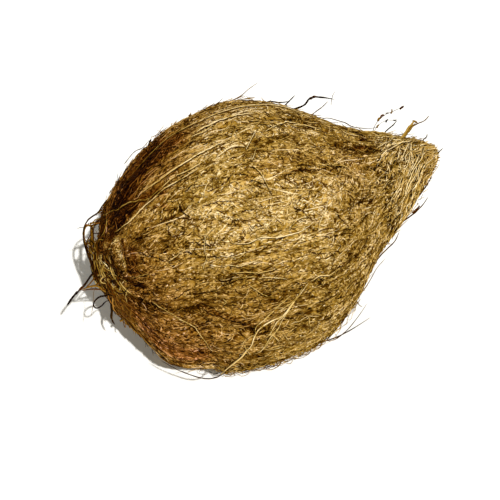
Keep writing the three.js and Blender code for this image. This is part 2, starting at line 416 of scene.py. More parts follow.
def tubes(paths, radii, reference, thin):
    """Three-sided tubes that end in points: paths is fibres x places x 3, radii is fibres x places. thin is
    the share of their width that they measure in the direction of the reference."""
    count, places, _ = paths.shape
    along = np.gradient(paths, axis=1)
    side = unit(np.cross(along, reference))
    other = thin * unit(np.cross(side, along))
    corners = TURN * np.arange(3) / 3
    spokes = np.cos(corners)[:, None] * side[:, 1:-1, None] + np.sin(corners)[:, None] * other[:, 1:-1, None]
    rings = paths[:, 1:-1, None] + radii[:, 1:-1, None, None] * spokes
    points = np.concatenate([paths[:, :1], rings.reshape(count, -1, 3), paths[:, -1:]], axis=1)

    last = 3 * (places - 2) + 1
    faces = []
    for corner in range(3):
        near, next_corner = 1 + corner, 1 + (corner + 1) % 3
        faces.append((0, near, next_corner))
        for ring in range(0, last - 4, 3):
            faces.append((next_corner + ring, near + ring, near + ring + 3))
            faces.append((next_corner + ring, near + ring + 3, next_corner + ring + 3))
        faces.append((last, next_corner + last - 4, near + last - 4))
    triangles = np.array(faces)[None] + (last + 1) * np.arange(count)[:, None, None]
    return points, triangles.reshape(-1, 3)


def by_vertex(values):
    """Values by place along tubes, spread to their vertices."""
    middle = np.repeat(values[:, 1:-1], 3, axis=1)
    return np.concatenate([values[:, :1], middle, values[:, -1:]], axis=1)


# Fibres stay this far above the floor, and OUT is square to the plane that the strays lie in
FLOOR_GAP = 0.25
OUT = np.array([0.0, 0.0, 1.0])


def make_fibres(name, paths, radii, reference, tone, redness, material, thin=1):
    """One piece of many fibres, without those that would meet the floor. tone and redness are by place."""
    clear = to_frame(paths)[..., 2].min(axis=1) > MM * (FLOOR_GAP + radii.max(axis=1))
    reference, tone, redness = (
        np.broadcast_to(values, shape)
        for values, shape in ((reference, paths.shape), (tone, radii.shape), (redness, radii.shape))
    )
    points, triangles = tubes(paths[clear], radii[clear], reference[clear], thin)
    tone, redness = by_vertex(tone[clear]), by_vertex(redness[clear])
    make_piece(name, points.reshape(-1, 3), triangles, tone, redness, material)


def bow(places):
    """A bow from 0 over 1 at the middle back to 0."""
    return np.sin(math.pi * np.linspace(0, 1, places))


def taper(thick, places, root=0.5, tip=0.5):
    """Radii along fibres that are thickest in the middle: root and tip are shares of the thickest."""
    end = np.where(np.linspace(0, 1, places) < 0.5, root, tip)
    return np.asarray(thick)[:, None] * lerp(end, 1, bow(places))


def walk(length, heading, curl, places):
    """Steps lengthwise and sideways along fibres from their middles, in millimetres."""
    t = np.linspace(-0.5, 0.5, places)
    bearing = heading[:, None] + curl[:, None] * t
    step = length[:, None] / (places - 1)
    forward = np.cumsum(step * np.cos(bearing), axis=1)
    sideways = np.cumsum(step * np.sin(bearing), axis=1)
    return forward - forward.mean(axis=1, keepdims=True), sideways - sideways.mean(axis=1, keepdims=True)


# How close to its ends fibres may lie on the husk, as shares of its length
HUSK_ENDS = (0.002, 0.998)
ALL_ROUND = (-180, 180)

# Places drawn for each one needed, because most are dropped where the husk is thin
SPARE_DRAWS = 12


def walked(share, cord, forward, sideways):
    """Places along fibres that walk from places on the husk, from steps in millimetres."""
    shares = np.clip(share[:, None] + forward / HUSK_LENGTH, *HUSK_ENDS)
    return shares, cord[:, None] + cords_across(share[:, None], sideways)


def scattered(rng, count, within, near_ends, degrees=ALL_ROUND):
    """Seeded places on the husk, even by area; near_ends adds to the density where the husk is thin."""
    share = rng.uniform(*within, SPARE_DRAWS * count)
    radius = station(share)[1]
    kept = rng.uniform(0, BELLY_RADIUS, share.size) < radius + near_ends
    share = share[kept][:count]
    return share, cord_of(share, np.radians(rng.uniform(*degrees, share.size)))


# The husk's own mesh, under the fibres: its depth, its tone, and how much painted shade in valleys and
# creases darkens it
HUSK_SUNK = 0.35
HUSK_TONE = 0.44
HUSK_VALLEY_SHADE = 0.25
HUSK_CREASE_SHADE = 0.35


def husk_body(material):
    shares = np.arange(1, HUSK_ROWS)[:, None] / HUSK_ROWS
    cords = np.arange(HUSK_COLUMNS)[None] * CORDS / HUSK_COLUMNS
    shares, cords = np.broadcast_arrays(shares, cords)
    skin = on_husk(shares, cords, matting(shares, cords) - HUSK_SUNK)[0]
    first, last = ([[x, rise, 0]] for x, _, rise in STATIONS[[0, -1]])
    points = np.vstack([first, skin.reshape(-1, 3), last])
    column = np.arange(HUSK_COLUMNS)
    after = (column + 1) % HUSK_COLUMNS
    triangles = [np.stack([0 * column, 1 + column, 1 + after], -1)]
    for row in range(HUSK_ROWS - 2):
        near, far = 1 + row * HUSK_COLUMNS, 1 + (row + 1) * HUSK_COLUMNS
        triangles.append(np.stack([near + column, far + column, far + after], -1))
        triangles.append(np.stack([near + column, far + after, near + after], -1))
    triangles.append(np.stack([len(points) - 1 + 0 * column, far + after, far + column], -1))

    tone, redness = shade_at(shares, cords)
    # Painted shade in the valleys between cords
    tone = HUSK_TONE + tone - HUSK_VALLEY_SHADE * valley_shade(shares, cords)
    # Painted shade in the creases
    tone = tone - HUSK_CREASE_SHADE * crease(shares, cords)
    tone, redness = (np.concatenate([v[0, :1], v.ravel(), v[-1, -1:]]) for v in (tone, redness))
    make_piece("husk_body", points, np.concatenate(triangles), tone, redness, material)


# Kinds of fibre that lie scattered over the husk. within is the range of shares, spread is how far
# headings stray at the blunt end and over the rest, lift and arch are the height of a fibre's ends and its
# middle above the husk, and tone has a mean and a range. degrees and heading, where given, keep a kind to
# one side and turn it off lengthwise; wave is how far its fibres sway, and thin how flat they are.
PLAIN = {"near_ends": 0, "degrees": ALL_ROUND, "heading": 0, "wave": 0, "thin": 1, "shuns_creases": 0}


def fibres(**given):
    """A kind of fibre, plain in what isn't given."""
    return SimpleNamespace(**PLAIN | given)


SCATTERED = {
    "crumbs": fibres(
        seed=40, count=29000, places=3, within=(0.01, 0.995), length=(0.9, 2.4), radius=(0.38, 0.66),
        thin=0.4, spread=(0.4, 0.7), curl=0.1, lift=(-0.35, 0.05), arch=(0, 0.1), tone=(0.61, 0.125),
        shuns_creases=0.8,
    ),
    "felt_fibres": fibres(
        seed=41, count=15000, places=4, within=(0.01, 0.99), length=(1.8, 5), radius=(0.2, 0.36), thin=0.6,
        spread=(0.35, 0.6), curl=1.2, lift=(-0.2, 0.1), arch=(0, 0.3), tone=(0.61, 0.14), shuns_creases=0.8,
    ),
    "dark_fibres": fibres(
        seed=42, count=7600, places=4, within=(0.01, 0.99), length=(1.2, 4.6), radius=(0.12, 0.25),
        spread=(0.25, 0.5), curl=1.1, wave=0.2, lift=(0.05, 0.3), arch=(0.05, 0.25), tone=(0.17, 0.07),
    ),
    "combed_fibres": fibres(
        seed=43, count=2900, places=8, within=(0.01, 0.97), near_ends=4, length=(7, 22), radius=(0.1, 0.2),
        spread=(0.12, 0.24), curl=0.5, wave=0.25, lift=(-0.1, 0.15), arch=(0.1, 0.4), tone=(0.52, 0.2),
    ),
    "tuft_straw": fibres(
        seed=44, count=560, places=7, within=(0.8, 0.985), near_ends=30, degrees=(-85, 50), heading=0.62,
        length=(4, 15), radius=(0.14, 0.28), spread=(0.2, 0.2), curl=0.4, lift=(-0.3, 0.2), arch=(0.1, 0.5),
        tone=(0.64, 0.28),
    ),
    "tuft_specks": fibres(
        seed=50, count=1300, places=4, within=(0.76, 0.985), near_ends=30, degrees=(-85, 65), heading=0.5,
        length=(1, 3.2), radius=(0.18, 0.36), spread=(0.3, 0.3), curl=0.4, lift=(0, 0.2), arch=(0, 0.15),
        tone=(0.08, 0.05),
    ),
    "low_fringe": fibres(
        seed=53, count=220, places=7, within=(0.3, 0.62), degrees=(-102, -58), length=(3, 10),
        radius=(0.09, 0.18), spread=(0.6, 0.6), curl=1.4, lift=(0.1, 1.4), arch=(0.2, 1.6),
        tone=(0.42, 0.2),
    ),
    "far_tuft_straw": fibres(
        seed=48, count=1300, places=6, within=(0.66, 0.985), near_ends=30, degrees=(60, 275),
        length=(6, 20), radius=(0.15, 0.32), spread=(0.1, 0.1), curl=0.3, lift=(-0.3, 0.3), arch=(0.1, 0.6),
        tone=(0.56, 0.18),
    ),
}


# Where headings change from the blunt end's spread to the rest's, the waves that a fibre sways in, the tone
# that shade is a share of, how far shade changes a fibre's tone, and what the painted shade in a valley takes
# off it
SPREAD_CHANGES = (0.12, 0.4)
WAVES = (0.6, 1.4)
MIDDLE_TONE = 0.5
SHADE_LIMITS = (0.2, 2)
FIBRE_VALLEY_SHADE = 0.2


def scattered_fibres(name, kind, material):
    rng = np.random.default_rng(kind.seed)
    share, cord = scattered(rng, kind.count, kind.within, kind.near_ends, kind.degrees)
    open_there = rng.uniform(0, 1, share.size) > kind.shuns_creases * crease(share, cord)
    share, cord = share[open_there], cord[open_there]
    count, places = len(share), kind.places
    spread = lerp(*kind.spread, smoothstep(share, *SPREAD_CHANGES))
    heading, curl = rng.normal(kind.heading, spread), rng.normal(0, kind.curl, count)
    forward, sideways = walk(rng.uniform(*kind.length, count), heading, curl, places)
    waves, start = rng.uniform(*WAVES, (count, 1)), rng.uniform(0, 1, (count, 1))
    sway = kind.wave * np.sin(TURN * (waves * np.linspace(0, 1, places) + start))
    shares, cords = walked(share, cord, forward, sideways + sway)
    lift = rng.uniform(*kind.lift, (count, 1)) + rng.uniform(*kind.arch, (count, 1)) * bow(places)
    points, normals = on_husk(shares, cords, lift + matting(shares, cords))
    radii = taper(rng.uniform(*kind.radius, count), places)
    shade, redness = shade_at(shares, cords)
    mean, spread_of_tone = kind.tone
    tone = mean * np.clip(1 + shade / MIDDLE_TONE, *SHADE_LIMITS) + rng.normal(0, spread_of_tone, (count, 1))
    # Painted shade in the valleys between cords
    tone = tone - FIBRE_VALLEY_SHADE * valley_shade(shares, cords)
    make_fibres(name, points, radii, normals, tone, redness, material, kind.thin)


# Hairs that lift off the husk all over and blur its edge. ways are the shares that lean forward and back,
# rise is the power that a hair lifts off with, and tone is a mean, the husk's part in it, and a range.
FUZZ = fibres(
    seed=45, count=1700, places=5, within=(0.03, 0.97), near_ends=8, length=(2, 9), radius=(0.08, 0.16),
    height=(0.3, 1.9), ways=(0.7, 0.3), spread=0.5, curl=0.9, rise=1.7, tone=(0.4, 0.6, 0.2),
)


def edge_fuzz(material):
    kind = FUZZ
    rng = np.random.default_rng(kind.seed)
    share, cord = scattered(rng, kind.count, kind.within, kind.near_ends)
    count, places = len(share), kind.places
    way = rng.choice([0, math.pi], count, p=kind.ways)
    heading, curl = way + rng.normal(0, kind.spread, count), rng.normal(0, kind.curl, count)
    forward, sideways = walk(rng.uniform(*kind.length, count), heading, curl, places)
    shares, cords = walked(share, cord, forward, sideways)
    lift = rng.uniform(*kind.height, (count, 1)) * np.linspace(0, 1, places) ** kind.rise
    points, normals = on_husk(shares, cords, lift)
    radii = taper(rng.uniform(*kind.radius, count), places, root=1)
    shade, redness = shade_at(shares, cords)
    mean, part, spread_of_tone = kind.tone
    tone = mean + part * shade + rng.normal(0, spread_of_tone, (count, 1))
    make_fibres("edge_fuzz", points, radii, normals, tone, redness, material)


# The frayed end of the tuft: stiff ends that run on past the tip and spread a little. root and skin are
# their heights above the husk where they start and a little ahead, where they leave it.
FRINGE = fibres(
    seed=46, count=260, share=(0.88, 0.985), reach=(0.1, 1.6), spread=(-0.6, 0.3), root=-1.4, skin=-0.8,
    ahead=0.03, last=0.995, bend=0.35, radius=(0.14, 0.3), tone=(0.6, 0.18), redness=0.1,
)


def tuft_fringe(material):
    kind = FRINGE
    rng = np.random.default_rng(kind.seed)
    count = kind.count
    share, angle = rng.uniform(*kind.share, count), rng.uniform(0, TURN, count)
    root, normals = on_husk(share, cord_of(share, angle), np.full(count, kind.root))
    ahead = np.minimum(share + kind.ahead, kind.last)
    skin = on_husk(ahead, cord_of(ahead, angle), np.full(count, kind.skin))[0]
    reach, spread = rng.uniform(*kind.reach, count), rng.uniform(*kind.spread, count)
    onward = np.stack([reach, spread * np.sin(angle), spread * np.cos(angle)], -1)
    bend = rng.normal(0, kind.bend, (count, 3))
    paths = np.stack([root, skin, skin + onward / 2 + bend, skin + onward], axis=1)
    radii = taper(rng.uniform(*kind.radius, count), paths.shape[1], root=1, tip=0.8)
    tone = rng.normal(*kind.tone, (count, 1))
    make_fibres("tuft_fringe", paths, radii, normals[:, None], tone, kind.redness, material)


# The tangle round the blunt end: curly fibres, most of them dark, that leave the husk and come back. loops
# is the share of them that stand higher, light is the share that is pale on the light side, and dark_tones
# are for that side and the other.
TANGLE = fibres(
    seed=47, count=640, places=9, reach=22, length=(3, 15), radius=(0.12, 0.38), curl=1.3, height=(0, 1),
    loops=0.15, loop_height=(1, 2.4), light=0.48, light_tone=(0.6, 0.16), dark_tones=(0.12, 0.34),
    dark_range=0.1, redness=(0.3, 1),
)

# See-through gaps in the tangle: along, rise, radius
GAPS = [
    (-58.6, 23.1, 1), (-57.5, 23.4, 0.8), (-56.1, 23.3, 0.7), (-61, 20.2, 0.9), (-61.5, 19.1, 0.95),
    (-62, 18.1, 0.85), (-57.1, 19.1, 1), (-57.8, 18.3, 0.8), (-58.8, 16.4, 1), (-59.5, 15.6, 0.7),
]


def clear_of_gaps(points):
    """Which fibres, given as fibres x places x 3, leave the gaps open."""
    clear = np.ones(len(points), bool)
    for along, rise, radius in GAPS:
        clear &= np.hypot(points[..., 0] - along, points[..., 1] - rise).min(axis=1) > radius
    return clear


# The middle of the side where the tangle is pale and dark, not brown, and the cosine where that side ends
LIGHT_SIDE = math.radians(52)
LIGHT_SIDE_EDGE = 0.15

# Traces of felt that the tangle leaves bare, as multiples of their reach and how near is too near
BARE = ("pole_patch", "pole_strip")
BARE_REACH = 1.3
BARE_NEARNESS = 0.4


def blunt_tangle(material):
    kind = TANGLE
    rng = np.random.default_rng(kind.seed)
    count, places = kind.count, kind.places
    away = kind.reach * np.sqrt(rng.uniform(0, 1, count))
    angle = rng.uniform(0, TURN, count)
    heading, curl = rng.uniform(0, TURN, count), rng.normal(0, kind.curl, count)
    forward, sideways = walk(rng.uniform(*kind.length, count), heading, curl, places)
    east = (away * np.cos(angle))[:, None] + forward
    north = (away * np.sin(angle))[:, None] + sideways
    shares = np.hypot(east, north) / HUSK_LENGTH
    cords = cord_of(shares, np.arctan2(north, east))
    loops = rng.uniform(0, 1, count) < kind.loops
    height = np.where(loops, rng.uniform(*kind.loop_height, count), rng.uniform(*kind.height, count))
    points, normals = on_husk(shares, cords, height[:, None] * bow(places))
    clear = clear_of_gaps(points)
    for name in BARE:
        route, reach = TRACES[name][:2]
        clear &= near_route(shares, cords, route, BARE_REACH * reach).max(axis=1) < BARE_NEARNESS
    radii = taper(rng.uniform(*kind.radius, count), places)
    on_light_side = (np.cos(angle - LIGHT_SIDE) > LIGHT_SIDE_EDGE)[:, None]
    light = on_light_side & (rng.uniform(0, 1, (count, 1)) < kind.light)
    dark_tone = rng.normal(np.where(on_light_side, *kind.dark_tones), kind.dark_range)
    tone = np.where(light, rng.normal(*kind.light_tone, (count, 1)), dark_tone)
    redness = np.where(light, 0, rng.uniform(*kind.redness, (count, 1)))
    kept = (values[clear] for values in (points, radii, normals, tone, redness))
    make_fibres("blunt_tangle", *kept, material)


# The see-through side of the tangle: fibres that follow the line it ends on, at insets inside that line.
# The line is (along, rise), span is a share of it, depth is how far out a fibre lies, and olive is the share
# of fibres with that tone.
TANGLE_EDGE = [
    (-48.9, 29.6), (-53, 26.7), (-55.6, 24.7), (-59.2, 23.7), (-61.6, 22), (-62.9, 19.9), (-64, 16.8),
    (-64.3, 13.6), (-64.5, 8.1), (-64.7, 4.1), (-65, 0.5), (-63.7, -4), (-62.2, -7),
]
EDGE_STEPS = 241
EDGE_FIBRES = fibres(
    seed=49, count=420, places=9, span=(0.05, 0.26), inset=(0, 7.5), least_inset=0.25, depth=(-3, 6),
    radius=(0.12, 0.34), wander=0.5, waves=1.4, drift=1.1, olive=0.3, olive_tone=(0.46, 0.14),
    dark_tone=(0.1, 0.07), redness=(0.2, 1),
)


def tangle_edge(material):
    kind = EDGE_FIBRES
    rng = np.random.default_rng(kind.seed)
    count, places = kind.count, kind.places
    line = smooth_curve(TANGLE_EDGE, EDGE_STEPS)
    ways = unit(np.gradient(line, axis=0))
    t = np.linspace(-0.5, 0.5, places)
    along_line = rng.uniform(0, 1, (count, 1)) + rng.uniform(*kind.span, (count, 1)) * t
    at = np.clip(along_line, 0, 1) * (len(line) - 1)
    x, y, way_x, way_y = (np.interp(at, np.arange(len(line)), v) for v in (*line.T, *ways.T))
    inset = rng.uniform(*kind.inset, (count, 1)) + rng.normal(0, kind.drift, (count, 1)) * 2 * t
    phase = rng.uniform(0, TURN, (2, count, 1))
    wander = kind.wander * rng.uniform(0, 1, (count, 1))
    inset = inset + wander * np.sin(kind.waves * TURN * t + phase[0])
    inset = np.maximum(inset, kind.least_inset)
    depth = rng.uniform(*kind.depth, (count, 1)) + kind.wander * np.sin(TURN * t + phase[1])
    points = np.stack([x - way_y * inset, y + way_x * inset, depth], -1)
    clear = clear_of_gaps(points)
    radii = taper(rng.uniform(*kind.radius, count), places)
    olive = rng.uniform(0, 1, (count, 1)) < kind.olive
    olive_tone = rng.normal(*kind.olive_tone, (count, 1))
    tone = np.where(olive, olive_tone, rng.normal(*kind.dark_tone, (count, 1)))
    redness = np.where(olive, 0, rng.uniform(*kind.redness, (count, 1)))
    make_fibres("tangle_edge", points[clear], radii[clear], OUT, tone[clear], redness[clear], material)


# Long strands that lie over the husk, by kind: thickness, tone, redness, and routes
LYING = {
    "bold": (0.33, 0.84, 0, [
        [(371, -2), (396, -4), (425, -4), (451, -6), (483, -7), (499, -7), (524, -6)],
        [(494, -29), (467, -33), (448, -36), (430, -40), (400, -42), (375, -46), (364, -51), (348, -58),
         (341, -63)], [(937, 28), (907, 6), (884, -2), (852, -12), (826, -24), (812, -35)],
        [(947, -13), (912, -10), (885, -21), (860, -30), (837, -46)], [(908, 14), (875, 0), (848, -10)],
        [(242, 44), (273, 42), (305, 41), (340, 40), (370, 40), (401, 40), (431, 40)],
        [(393, 54), (413, 54), (443, 54)],
    ]),
    "pale": (0.28, 0.78, 0, [
        [(140, 70), (161, 60), (200, 48), (240, 40), (258, 38)],
        [(240, 38), (283, 38), (314, 38), (344, 36), (368, 36), (400, 37)],
        [(252, 35), (283, 36), (324, 34), (361, 34)], [(403, 35), (433, 36), (459, 34)],
        [(139, 41), (191, 34), (237, 35), (273, 35)], [(376, 53), (402, 52), (427, 53)],
        [(400, 54), (460, 53), (510, 51)], [(506, 38), (551, 42), (589, 45), (628, 44), (660, 47)],
        [(488, 40), (484, 38), (465, 34), (456, 32)], [(478, 32), (465, 28), (456, 26)],
        [(397, -19), (415, -20), (437, -22), (452, -24)],
        [(451, -32), (426, -34), (398, -38), (386, -40), (376, -44), (375, -46)],
        [(481, -30), (451, -36), (434, -40), (407, -46), (392, -50)],
        [(441, -38), (427, -44), (415, -47), (400, -50), (386, -56), (376, -62)],
        [(438, -46), (462, -46), (483, -46), (504, -48)],
        [(556, -30), (537, -30), (514, -28), (495, -29)],
        [(180, -20), (195, -22), (231, -30), (257, -36), (269, -44), (277, -49), (290, -60)],
        [(885, 62), (874, 60), (827, 40), (776, 30)], [(919, 52), (865, 38), (815, 30), (786, 24)],
        [(906, 46), (880, 24), (859, 16), (847, 4)], [(814, 34), (864, 38), (901, 44)],
        [(930, 52), (901, 40), (880, 22), (857, 7), (803, -15), (760, -24)],
        [(921, 15), (891, -6), (832, -24), (780, -40)],
        [(200, 150), (350, 141), (500, 138), (660, 143), (800, 150)],
        [(160, 176), (300, 184), (450, 180), (600, 172)],
        [(180, 258), (320, 250), (480, 248), (620, 256)],
    ]),
    "faint": (0.24, 0.74, 0, [
        [(276, 3), (259, 2), (243, 1.6)], [(355, -6.5), (374, -8), (385, -7), (387, -5.5), (385, -4)],
        [(353, 8), (335, 6), (325, 4), (317, -2), (317, -4), (305, -8), (312, -10)],
        [(338, -10), (354, -10), (373, -12), (400, -12), (411, -12)], [(405, -1), (424, 0), (448, -1)],
        [(433, -18), (404, -17), (380, -15), (354, -13.5)], [(352, -16), (380, -17), (397, -18.5)],
        [(142, -4), (171, -2), (197, -1)], [(467, -32.5), (448, -35), (420, -37)],
        [(580, 2), (561, -3), (537, -8), (534, -10)], [(518, -17), (536, -17), (548, -18)],
        [(377, -20), (391, -24), (406, -28), (423, -30)], [(404, -47), (420, -54)],
        [(483, -46), (482, -49), (484, -52)], [(608, 18), (643, 17), (670, 16)],
        [(572, 41.5), (613, 42.5), (630, 42.5)], [(452, 24.8), (461, 21), (465, 17), (466, 11)],
        [(220, 66), (340, 64), (460, 60), (600, 60), (720, 64)], [(325, -24), (332, -26), (325, -28)],
        [(341, -50), (362, -47), (373, -46)], [(348, -48), (355, -55), (367, -62)],
        [(390, -50), (404, -48), (420, -55)], [(394, -60), (420, -60), (435, -66)],
        [(370, -62), (393, -54), (417, -46)], [(462, -56), (479, -56), (497, -54)],
        [(428, -50), (439, -56), (447, -62)],
    ]),
    "coarse": (0.46, 0.44, 0.3, [
        [(70, 42), (75, 36), (91, 8), (108, -4), (120, -10)],
        [(120, 40), (135, 36), (164, 28), (180, 29), (190, 33)], [(40, 20), (45, 14), (59, 2), (65, -6)],
        [(74, -28), (95, -22), (116, -14), (150, -7), (178, -3)],
        [(240, 54), (300, 53), (350, 50), (376, 51)],
    ]),
    # Dark strands: partly real dark fibres, partly painted shade drawn along cracks and open creases
    "dark": (0.28, 0.1, 0.8, [
        [(241, 0.6), (258, 1.4), (276, 2.4), (295, 0), (310, -3), (335, -5), (358, -6.6)],
        [(236, 24), (255, 22), (283, 20), (301, 16), (331, 12), (357, 10)],
        [(357, 10), (374, 6), (392, 6), (412, 4)], [(300, 26), (303, 22), (305, 18), (313, 15)],
        [(286, 6), (304, 4), (316, 2), (340, 0), (355, 1), (372, 1)],
        [(277, 16), (266, 17), (263, 13), (284, 10), (293, 12), (280, 16)],
        [(179, 16), (203, 10), (224, 6), (240, 2)], [(139, -6), (152, -10), (171, -10)],
        [(315, -12), (333, -16), (345, -16), (360, -15), (384, -17.6)],
        [(257, -9), (275, -11), (291, -13)], [(209, -22), (232, -18), (240, -18), (261, -16), (270, -16)],
        [(351, -20), (357, -23), (375, -25)], [(406, -21), (417, -22), (430, -23)],
        [(465, -26), (472, -28), (483, -29)], [(525, -10), (551, -10), (582, -12)],
        [(539, -12), (562, -15)], [(504, -16), (518, -18), (553, -21)],
        [(280, -26), (294, -31), (312, -33), (335, -36), (354, -38), (377, -42)],
        [(344, -29), (364, -32), (382, -34)], [(457, -42), (479, -44)], [(464, 17), (466, 13), (467, 10)],
        [(412, 24), (437, 22)], [(398, 22), (411, 24)], [(358, 22), (380, 22), (394, 22)],
        [(321, 27), (341, 28)], [(344, 17), (370, 16), (401, 13)], [(397, 9), (415, 8), (445, 7)],
        [(494, 16), (535, 17), (572, 16), (610, 16.5)], [(575, 40.4), (613, 41), (627, 41)],
        [(678, 30), (723, 32), (744, 34), (775, 33), (804, 30)], [(761, 46), (799, 49)],
        [(596, -4), (595, -8), (612, -14), (612, -16)], [(497, 3), (517, 0)],
        [(150, 28), (146, 15), (140, 0)], [(120, -5), (135, -7), (154, -10), (175, -10)],
    ]),
}
LYING_SEED = 52
LYING_PLACES = 28
LYING_LIFT = 0.6
LYING_ENDS = (-0.08, 0.12)

# The share of their thickness that strands are drawn with, and of the felt's relief that they follow
SLIMMED = 0.72
FOLLOWED = 0.5

# How much the husk's shade changes a strand's tone, and the limits of that change
SHADE_PART = 1.2
STRAND_SHADES = (0.5, 1.2)

# How unevenly a strand's thickness runs, and how far it strays sideways, for the dark ones and the rest
DARK_KNOBS = 0.65
LIGHT_KNOBS = 0.2
DARK_STRAY = 0.3
LIGHT_STRAY = 0.12

# Strands above this tone are light, with a painted shadow, a thin dark strand, along their lower side.
# Painted shadows and dark strands lie lower.
LIGHT_TONE = 0.5
LOW_LIFT = 0.6
SHADOW_SHIFT = 0.4
SHADOW_THICKNESS = 0.7
SHADOW_TONE = 0.1
SHADOW_REDNESS = 0.4


def lying_strands(material):
    lines = [(route, *looks) for *looks, routes in LYING.values() for route in routes]
    paths = np.array([husk_curve(route, LYING_PLACES) for route, *_ in lines])
    thick, tone, redness = np.array([looks for _, *looks in lines]).T
    shares, cords = paths[..., 0], cord_of(paths[..., 0], np.radians(paths[..., 1]))
    rng = np.random.default_rng(LYING_SEED)
    light = tone > LIGHT_TONE
    knobs = np.where(light[:, None], LIGHT_KNOBS, DARK_KNOBS) * rng.uniform(-1, 1, shares.shape)
    astray = np.where(light[:, None], LIGHT_STRAY, DARK_STRAY) * rng.uniform(-1, 1, shares.shape)
    cords = cords + cords_across(shares, astray)
    t = np.linspace(0, 1, LYING_PLACES)
    lift = LYING_LIFT * smoothstep(np.minimum(t, 1 - t), *LYING_ENDS)
    lift = lift * np.where(light, 1, LOW_LIFT)[:, None]
    relief = FOLLOWED * matting(shares, cords)
    points, normals = on_husk(shares, cords, lift + relief)
    radii = taper(SLIMMED * thick, LYING_PLACES, 0.4, 0.4) * (1 + knobs)
    shaded = tone[:, None] * np.clip(1 + SHADE_PART * shade_at(shares, cords)[0], *STRAND_SHADES)
    make_fibres("lying_strands", points, radii, normals, shaded, redness[:, None], material)

    # The painted shadows: thin dark strands along the lower side of the light ones, away from the sun
    shadow_cords = cords - cords_across(shares, SHADOW_SHIFT)
    points, normals = on_husk(shares, shadow_cords, LOW_LIFT * lift + relief)
    thin = SHADOW_THICKNESS * radii
    make_fibres("painted_strand_shadows", points[light], thin[light], normals[light], SHADOW_TONE, SHADOW_REDNESS, material)


